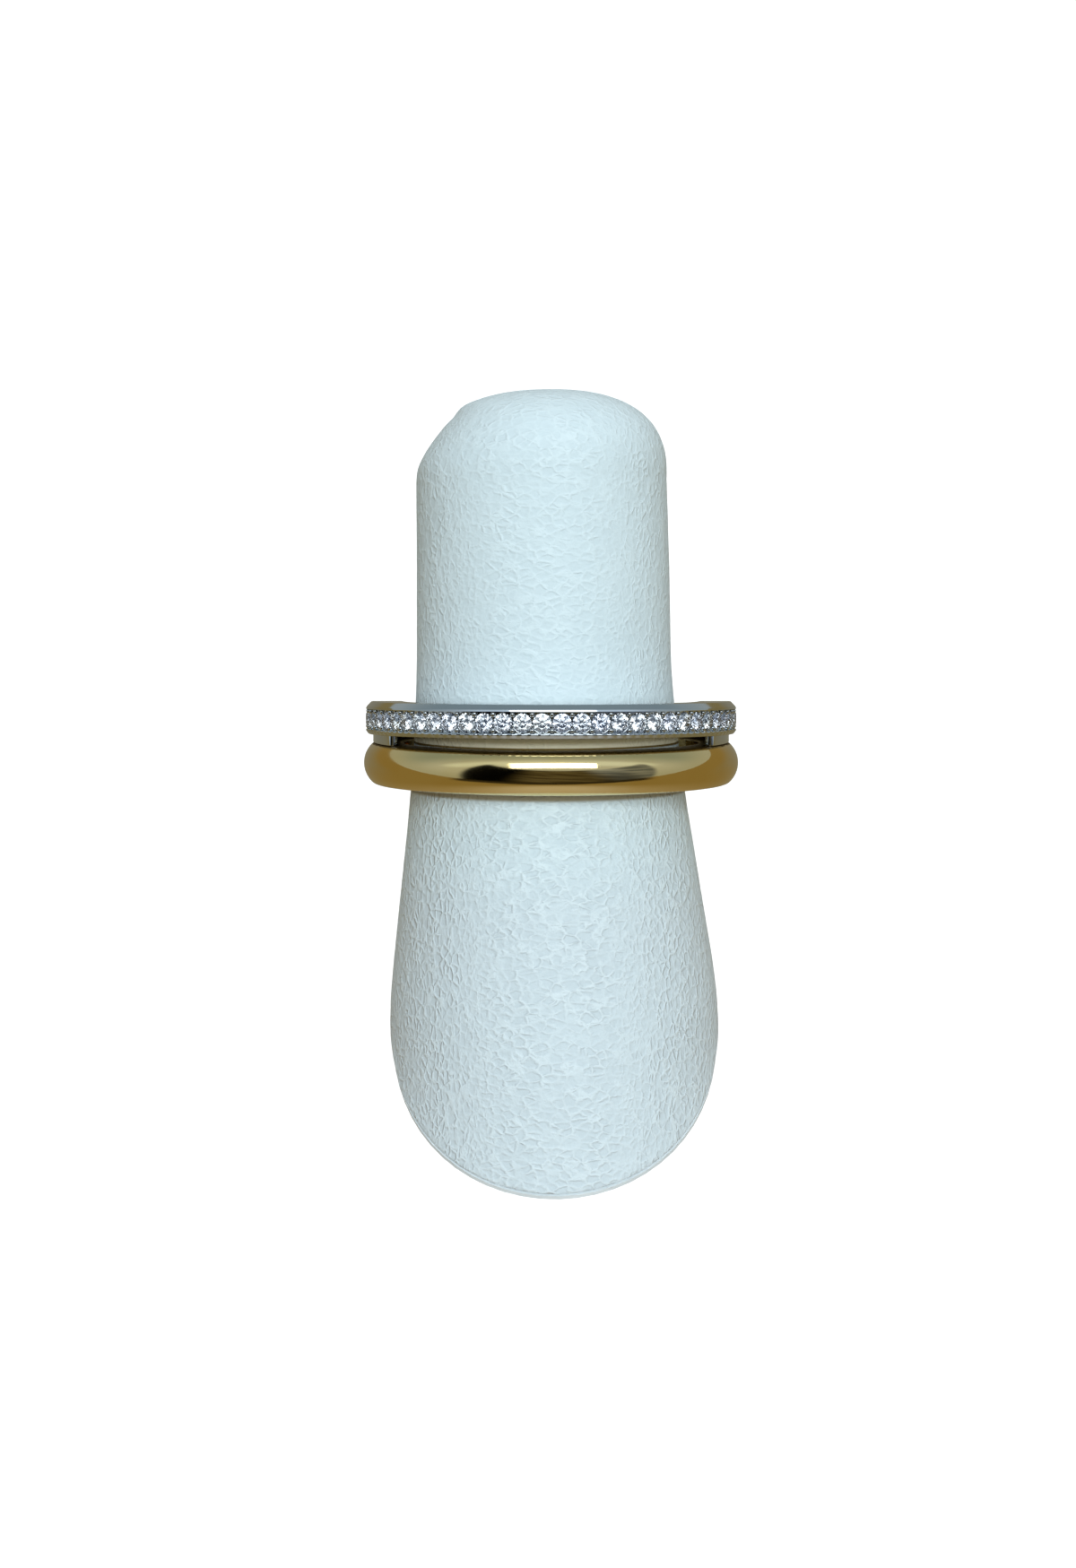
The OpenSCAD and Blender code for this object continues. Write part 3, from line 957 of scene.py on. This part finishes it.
start_side = STRIP_START + end_turn * (1 - np.sin(np.linspace(0, math.pi / 2, 9))[::-1])
strip_angles = np.concatenate([
    start_side,
    np.linspace(STRIP_START + end_turn, strip_end - end_turn, STRIP_COLUMNS)[1:-1],
    2 * math.pi - start_side[::-1],
])
from_end = np.minimum(strip_angles - STRIP_START, strip_end - strip_angles)
share = np.clip(from_end / end_turn, 0, 1)
half_width = STRIP_HALF * np.sqrt(np.clip(1 - (1 - share) ** 2, 0, 1))[:, None]
corner_round = np.minimum(STRIP_ROUND, 0.9 * half_width)
row_turns = np.radians(np.concatenate([np.linspace(0, 90, 4) + 90 * quarter for quarter in range(4)]))
row_sides = np.repeat([1, -1, -1, 1], 4)
row_is_low = np.repeat([False, False, True, True], 4)
strip_r = STRIP_RADIUS + row_sides * (half_width - corner_round) + corner_round * np.cos(row_turns)
from_hinge = RAIL_RADIUS - strip_r * np.cos(strip_angles)[:, None]
seam_drop = GOLD_TOP + SOLDER_SEAM - white_low
strip_low = white_low + (seam_drop + from_hinge * math.sin(SPREAD)) / math.cos(SPREAD)
row_middles = np.where(row_is_low, strip_low + STRIP_ROUND, strip_high - STRIP_ROUND)
strip_z = row_middles + STRIP_ROUND * np.sin(row_turns)

strip = white_piece("joining_strip", strip_angles, strip_r, strip_z, closed=False)
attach(strip, "root")
report(strip)

# %% [markdown]
# ## The grains
# A setter raises little grains of metal with a graver and pushes them over the edges of the stones.
# Two grains stand between each pair of neighbours, one above and one below.
# They repeat by a rule, so Geometry Nodes place them: points by angle, and a small ball on each.
# A seed varies their size a little, because every grain is raised by hand.

# %% Geometry Nodes: the row of grains
grain_row, size = geometry_tree("grain_row", {
    "Pairs": STONES + 1,
    "Pitch": PITCH,
    "Ring Radius": 10.15 * MM,
    "Middle Height": field_middle,
    "Height Apart": 0.84 * MM,
    "Grain Radius": 0.145 * MM,
    "Size Change": 0.08,
    "Seed": 7,
    "Material": MATERIAL,
})
points = add(grain_row, "GeometryNodePoints", {"Count": size["Pairs"] * 2.0})
index = out(add(grain_row, "GeometryNodeInputIndex"))
pair = calc("FLOOR", index * 0.5)
side = calc("MODULO", index, 2.0) - 0.5
angle = (pair - (size["Pairs"] - 1.0) * 0.5) * size["Pitch"]
spot = joined(
    calc("SINE", angle) * size["Ring Radius"],
    -(calc("COSINE", angle) * size["Ring Radius"]),
    size["Middle Height"] + side * size["Height Apart"],
)
placed = add(grain_row, "GeometryNodeSetPosition", {"Geometry": out(points), "Position": spot})
limits_and_seed = {2: -1.0, 3: 1.0, "Seed": size["Seed"]}
change = add(grain_row, "FunctionNodeRandomValue", limits_and_seed, data_type="FLOAT")
grown = size["Grain Radius"] * (out(change, 1) * size["Size Change"] + 1.0)
ball = add(grain_row, "GeometryNodeMeshIcoSphere", {"Radius": 1.0, "Subdivisions": 3})
copies = add(
    grain_row,
    "GeometryNodeInstanceOnPoints",
    {"Points": out(placed), "Instance": out(ball, "Mesh"), "Scale": joined(grown, grown, grown)},
)
close_tree(out(copies), size["Material"])

grains = grow("grains", grain_row, {"Material": white_gold}, white_frame)
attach(grains, "root")
report(grains)

# %% [markdown]
# ## The grain of the leatherette
# The finger is padded and covered in white leatherette with a pressed grain.
# Soft raised wrinkles run between small hollows, across the finger's front and along its sides.
# Voronoi cells give such a net: the distance to the nearest cell edge is small along the wrinkles.
# A noise bends the net and lets some wrinkles fade, so that it doesn't look like tiles.
# The same function serves the mesh and the material, so that relief and colour agree.
# Above the ring the leather is pulled tighter and smoother, and towards the foot a painted shade makes it a
# little darker.
# In the slit between the bands the leather gets painted shade and a painted warm reflection of the gold,
# and just under the gold band a painted contact shadow.

# %% Wrinkles
WRINKLE_BEND = 0.65
WRINKLE_WIDTH = 0.26
FRONT_CELL = 0.5 * MM
FRONT_STRETCH = 1.35
SIDE_CELL = 0.48 * MM
SIDE_STRETCH = 0.68
SIDE_FROM = 2 * MM
SIDE_FULL = 6 * MM


def scaled(vector, factor):
    """A vector made longer or shorter by a factor."""
    node = add(tree_of(vector), "ShaderNodeVectorMath", {0: vector, "Scale": factor}, operation="SCALE")
    return out(node)


def veins(place, cell, stretch):
    """1 along the wrinkles and 0 in the hollows, with some faded. Stretch lengthens them sideways."""
    drawn = vector_calc("MULTIPLY", place, (1 / stretch, stretch ** 0.5, stretch ** 0.5))
    even = scaled(drawn, 1 / cell)
    drift = vector_calc("SUBTRACT", noise(even, 1.3, give="Color"), (0.5, 0.5, 0.5))
    bent = vector_calc("ADD", even, scaled(drift, WRINKLE_BEND))
    net = add(
        tree_of(place),
        "ShaderNodeTexVoronoi",
        {"Vector": bent, "Scale": 1.0},
        feature="DISTANCE_TO_EDGE",
        voronoi_dimensions="3D",
    )
    ridge = ramp(out(net, "Distance"), 0.0, WRINKLE_WIDTH, 1.0, 0.0)
    return ridge * ramp(noise(bent, 0.6, 1.0), 0.35, 0.6, 0.4, 1.0)


def wrinkle_net(place):
    """Wrinkles that run across the finger at its front and along it at its sides."""
    side_share = ramp(abs(parts(place)[0]), SIDE_FROM, SIDE_FULL)
    across = veins(place, FRONT_CELL, FRONT_STRETCH)
    along = veins(place, SIDE_CELL, SIDE_STRETCH)
    return across * (1.0 - side_share) + along * side_share


print("wrinkles about", round(FRONT_CELL * 1000, 2), "mm apart")

# %% Clean leatherette
RELIEF_BELOW = 0.9
RELIEF_ABOVE = 0.55
FOOT_SHADE_FULL = -10 * MM
FOOT_SHADE_END = -4 * MM
# Each pair holds a tone and its painted-shade tone for the foot.
DARK_HOLLOW = ((0.65, 0.73, 0.765, 1), (0.625, 0.68, 0.715, 1))
LIGHT_HOLLOW = ((0.68, 0.76, 0.795, 1), (0.653, 0.71, 0.745, 1))
WRINKLE = ((0.77, 0.85, 0.88, 1), (0.74, 0.795, 0.825, 1))

leatherette, tree, shader = principled("white_leatherette")
place = object_place(tree)
height_here = over_ring(tree)
relief = ramp(height_here, GOLD_LOW, GOLD_TOP, RELIEF_BELOW, RELIEF_ABOVE)
net = wrinkle_net(place) * relief + (1.0 - relief) * 0.5
pores = noise(place, 3400, 2.0, 0.6)
mottle = noise(place, 420, 3.0, 0.6)
# Towards the foot the colours turn to their painted-shade tones.
foot_shade = ramp(height_here, FOOT_SHADE_FULL, FOOT_SHADE_END, 1.0, 0.0)
dark_hollow, light_hollow, wrinkle = (
    mix(foot_shade, plain, shaded) for plain, shaded in (DARK_HOLLOW, LIGHT_HOLLOW, WRINKLE)
)
hollows = mix(ramp(mottle, 0.3, 0.7), dark_hollow, light_hollow)
clean = mix(net, hollows, wrinkle)
fill(shader, {
    "Roughness": ramp(net, 0, 1, 0.62, 0.48),
    "Specular IOR Level": 0.4,
    "Normal": bumped(net * 0.6 + pores * relief * 0.4, 1.0, 0.1 * MM),
})
print("clean leatherette:", len(tree.nodes), "nodes")

# %% Painted shade and reflection beside the bands
SLIT_PAINTED_PALE = (0.86, 0.74, 0.53, 1)
SLIT_PAINTED_BROWN = (0.5, 0.38, 0.2, 1)
SLIT_FOOT_SHADOW = (0.17, 0.10, 0.015, 1)
UNDER_GOLD_SHADOW = (0.33, 0.28, 0.185, 1)


def zone(low, high, soft):
    """1 on the leather between two heights over the ring's middle, and 0 beyond, with soft borders."""
    return ramp(height_here, low - soft, low) * ramp(height_here, high, high + soft, 1.0, 0.0)


# Painted shade and a painted warm reflection of the gold in the slit: dark at its foot, pale just above,
# brown higher up.
slit_share = zone(GOLD_TOP, white_low + 0.02 * MM, 0.1 * MM)
# A painted contact shadow on the leather just under the gold band.
under_gold_shadow_share = zone(GOLD_LOW - 0.35 * MM, GOLD_LOW + 0.1 * MM, 0.2 * MM)
up_the_slit = ramp(height_here, GOLD_TOP + 0.14 * MM, GOLD_TOP + 0.42 * MM)
slit_foot = ramp(height_here, GOLD_TOP + 0.05 * MM, GOLD_TOP + 0.1 * MM, 1.0, 0.0)
slit_painted_light = mix(slit_foot, mix(up_the_slit, SLIT_PAINTED_PALE, SLIT_PAINTED_BROWN), SLIT_FOOT_SHADOW)
shadowed_under_gold = mix(under_gold_shadow_share, clean, UNDER_GOLD_SHADOW)
fill(shader, {"Base Color": mix(slit_share, shadowed_under_gold, slit_painted_light)})
print("leatherette:", len(tree.nodes), "nodes")

# %% [markdown]
# ## The padded finger
# The finger is a stick with foam round it. It widens towards the foot and has a rounded crown.
# It leans back, and its foot is cut level, so that the lower outline shows as a half ellipse.
# A cloth simulation suits a loose cushion, but this cover is glued tight over firm foam.
# So it is a loft: eight measured sections with a smooth curve through them, and a rounded crown.
# The edge at the foot is turned under with a small round.

# %% Sections of the finger
finger_sections = MM * np.array([
    [-25.0, 10.20, 10.75, 0.1],
    [-18.0, 9.35, 10.40, 0.1],
    [-14.0, 9.15, 9.95, 0.1],
    [-8.0, 8.38, 9.02, 0.07],
    [-2.3, 7.62, 8.14, 0.03],
    [3.3, 7.15, 7.66, 0],
    [9.0, 7.04, 7.45, 0.08],
    [14.3, 6.95, 7.30, 0.12],
])
HALF_WIDTH = 1
HALF_DEPTH = 2
ASIDE = 3


def section_size(z, column):
    """A size of the finger at a height, on a smooth curve through the sections."""
    heights = finger_sections[:, 0]
    values = finger_sections[:, column]
    before = np.maximum(np.arange(len(heights)) - 1, 0)
    after = np.minimum(np.arange(len(heights)) + 1, len(heights) - 1)
    slopes = (values[after] - values[before]) / (heights[after] - heights[before])
    i = np.clip(np.searchsorted(heights, z, side="right") - 1, 0, len(heights) - 2)
    span = heights[i + 1] - heights[i]
    t = (z - heights[i]) / span
    return (
        (2 * t ** 3 - 3 * t ** 2 + 1) * values[i]
        + (t ** 3 - 2 * t ** 2 + t) * span * slopes[i]
        + (3 * t ** 2 - 2 * t ** 3) * values[i + 1]
        + (t ** 3 - t ** 2) * span * slopes[i + 1]
    )


def foot_height(angle, over_floor):
    """Height along the finger at which its side is a given height over the floor."""
    level = over_floor / math.cos(LEAN) - RING_UP
    z = level + 0 * angle
    for _ in range(8):
        z = level + section_size(z, HALF_DEPTH) * np.sin(angle) * math.tan(LEAN)
    return z


print("widest section:", round(section_size(np.array(-16 * MM), HALF_WIDTH) * 2000, 1), "mm")

# %% Rings of the foot and the body
FINGER_COLUMNS = 340
BODY_ROWS = 200
FOOT_OVER_FLOOR = 0.27 * MM
FOOT_ROUND = 0.3 * MM
CROWN_START = 14.3 * MM

around = np.linspace(0, 2 * math.pi, FINGER_COLUMNS, endpoint=False)


def to_world(points):
    """Carries points from the finger's own frame to the floor's."""
    turn = np.array(finger_frame.to_3x3())
    return points @ turn.T + np.array(finger_frame.translation)


def side_ring(z):
    """One ring of points round the body, at a height that may change round it."""
    return to_world(np.column_stack([
        section_size(z, ASIDE) + section_size(z, HALF_WIDTH) * np.cos(around),
        section_size(z, HALF_DEPTH) * np.sin(around),
        z,
    ]))


def axis_point(over_floor):
    """The point of the finger's middle line at a height over the floor."""
    return np.array([0, over_floor * math.tan(LEAN), over_floor])


def level_ring(over_floor, inset):
    """One ring of points at a level over the floor, drawn in from the side by an inset."""
    outwards = side_ring(foot_height(around, over_floor)) - axis_point(over_floor)
    reach = np.hypot(outwards[:, 0], outwards[:, 1])[:, None]
    return axis_point(over_floor) + outwards * (1 - inset / reach)


bottom_middle = axis_point(FOOT_OVER_FLOOR)
bottom = level_ring(FOOT_OVER_FLOOR, FOOT_ROUND)
rings = [bottom_middle + (bottom - bottom_middle) * share for share in (0.03, 0.2, 0.4, 0.6, 0.8, 0.93)]
for turn in np.radians([0, 15, 30, 45, 60, 75]):
    over_floor = FOOT_OVER_FLOOR + FOOT_ROUND * (1 - math.cos(turn))
    rings.append(level_ring(over_floor, FOOT_ROUND * (1 - math.sin(turn))))
body_foot = foot_height(around, FOOT_OVER_FLOOR + FOOT_ROUND)
for share in np.linspace(0, 1, BODY_ROWS):
    rings.append(side_ring(body_foot + (CROWN_START - body_foot) * share))
print("rings up to the crown:", len(rings))

# %% Rings of the crown
CROWN_ROWS = 70
CROWN_HEIGHT = 5.05 * MM
CROWN_SLANT = 0.25 * MM
CROWN_POWER = 2.5
SHOULDER_DENT = 0.5 * MM

crown_aside, crown_width, crown_depth = (
    section_size(CROWN_START, column) for column in (ASIDE, HALF_WIDTH, HALF_DEPTH)
)


def crown_share(t):
    """How wide the crown still is, from 1 at its start to 0 at its tip."""
    return (1 - t ** CROWN_POWER) ** (1 / CROWN_POWER)


def eased(t, low, high):
    """A smooth step from 0 to 1 between two values."""
    share = np.clip((t - low) / (high - low), 0, 1)
    return share * share * (3 - 2 * share)


fine_t = np.sin(np.linspace(0, math.pi / 2, 4000))
outline = np.column_stack([crown_share(fine_t) * crown_depth, fine_t * CROWN_HEIGHT])
walked = np.concatenate([[0], np.cumsum(np.linalg.norm(np.diff(outline, axis=0), axis=1))])
even_t = np.interp(np.linspace(0, walked[-1], CROWN_ROWS + 1)[1:-1], walked, fine_t)
for t in even_t:
    dent = SHOULDER_DENT * (eased(t, 0.1, 0.6) - eased(t, 0.7, 0.88)) * np.maximum(-np.cos(around), 0)
    middle = crown_aside + CROWN_SLANT * t
    rings.append(to_world(np.column_stack([
        middle + crown_width * crown_share(t) * np.cos(around) + dent,
        crown_depth * crown_share(t) * np.sin(around),
        np.full(FINGER_COLUMNS, CROWN_START + CROWN_HEIGHT * t),
    ])))
tip = to_world(np.array([[crown_aside + CROWN_SLANT, 0, CROWN_START + CROWN_HEIGHT]]))
print("rings:", len(rings), "of", FINGER_COLUMNS, "points")

# %% Close the finger's mesh
OUTWARDS = [0, 3, 2, 1]
quads = grid_quads(len(rings), FINGER_COLUMNS, closed=False)[:, OUTWARDS]
bottom_point = len(rings) * FINGER_COLUMNS
last_ring = bottom_point - FINGER_COLUMNS
first = np.arange(FINGER_COLUMNS)
second = (first + 1) % FINGER_COLUMNS
bottom_fan = np.column_stack([np.full_like(first, bottom_point), second, first])
tip_fan = np.column_stack([last_ring + first, last_ring + second, np.full_like(first, bottom_point + 1)])
finger_points = np.vstack(rings + [bottom_middle[None, :], tip])
finger_faces = quads.tolist() + bottom_fan.tolist() + tip_fan.tolist()
finger_start = bpy.data.meshes.new("finger_start")
finger_start.from_pydata(finger_points.tolist(), [], finger_faces)
finger_start.update()
print("finger mesh:", len(finger_start.polygons), "faces")

# %% [markdown]
# ## Relief in the mesh
# A bump only bends the light, so the outline of the finger would stay dead smooth.
# Geometry Nodes press the larger part of the grain into the mesh itself: soft pebbles and slow swells.
# Everything is pressed inwards, so the finger never grows into the gold band.

# %% Geometry Nodes: pressed grain
pressed, size = geometry_tree("pressed_grain", {
    "Start": GEOMETRY,
    "Pebble Scale": 1900.0,
    "Pebble Depth": 0.02 * MM,
    "Swell Scale": 260.0,
    "Swell Depth": 0.05 * MM,
    "Material": MATERIAL,
})
place = out(add(pressed, "GeometryNodeInputPosition"))
pebbles = (noise(place, size["Pebble Scale"], 1.0) + wrinkle_net(place) * 0.2 - 1.1) * size["Pebble Depth"]
swells = (noise(place, size["Swell Scale"]) - 0.9) * size["Swell Depth"]
outwards = out(add(pressed, "GeometryNodeInputNormal"))
offset = scaled(outwards, calc("MINIMUM", pebbles + swells, 0.0))
moved = add(pressed, "GeometryNodeSetPosition", {"Geometry": size["Start"], "Offset": offset})
close_tree(out(moved), size["Material"])

finger = grow("padded_finger", pressed, {"Material": leatherette}, Matrix.Identity(4), finger_start)
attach(finger, "root")
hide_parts("display_finger")
report(finger)

# %% [markdown]
# ## The board under the foot
# A thin board closes the finger's foot, and only its pale edge shows.
# Its CAD solid has the right shape, so it stays and gets a better material.
# Cut card has a fine fibrous edge: a stretched noise gives the fibres and a slow one the mottle.

# %% Foot board
FIBRE_STRETCH = (1.0, 1.0, 9.0)
CARD_DARK = (0.72, 0.75, 0.77, 1)
CARD_LIGHT = (0.84, 0.87, 0.89, 1)

board, tree, shader = principled("card_edge")
place = object_place(tree)
fibres = noise(vector_calc("MULTIPLY", place, FIBRE_STRETCH), 2400, 3.0, 0.7)
tone = fibres * 0.6 + noise(place, 300) * 0.4
fill(shader, {
    "Base Color": mix(ramp(tone, 0.3, 0.7), CARD_DARK, CARD_LIGHT),
    "Roughness": ramp(fibres, 0, 1, 0.65, 0.85),
    "Normal": bumped(fibres, 0.4, 0.02 * MM),
})
dress(nodes["foot_board"], board)
print("board:", len(tree.nodes), "nodes")
